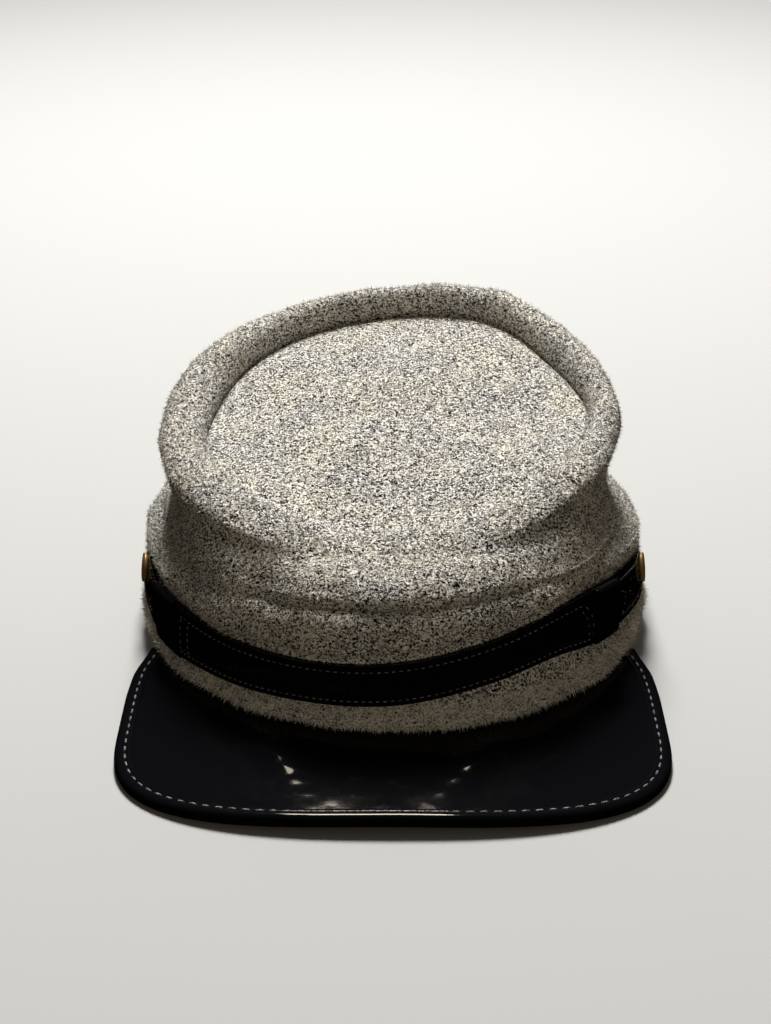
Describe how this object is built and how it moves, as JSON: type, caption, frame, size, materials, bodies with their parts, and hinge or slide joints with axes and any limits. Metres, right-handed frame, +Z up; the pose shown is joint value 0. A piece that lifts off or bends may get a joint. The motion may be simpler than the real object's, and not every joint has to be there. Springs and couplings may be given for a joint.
{
  "type": "kepi cap",
  "caption": "Soft wool kepi cap with a sloping round top, patent leather peak, chin strap and brass side buttons, lying on a flat surface.",
  "frame": {"origin": "centre of the bounding box on the surface that the cap lies on", "axes": "+X to the right as seen from the front, +Y from the peak to the back of the cap, +Z up"},
  "size_m": [0.171, 0.2474, 0.0929],
  "materials": {
    "wool": "heathered grey wool with a short nap",
    "patent_leather": "high gloss black",
    "brass": "polished gilt"
  },
  "bodies": {
    "root": {"crown": "wool", "crown_top": "wool", "band": "wool", "peak": "patent_leather", "peak_binding": "patent_leather", "chin_strap": "patent_leather", "chin_strap_under": "patent_leather", "keeper_left": "patent_leather", "keeper_right": "patent_leather", "button_left": "brass", "button_right": "brass"}
  },
  "joints": []
}
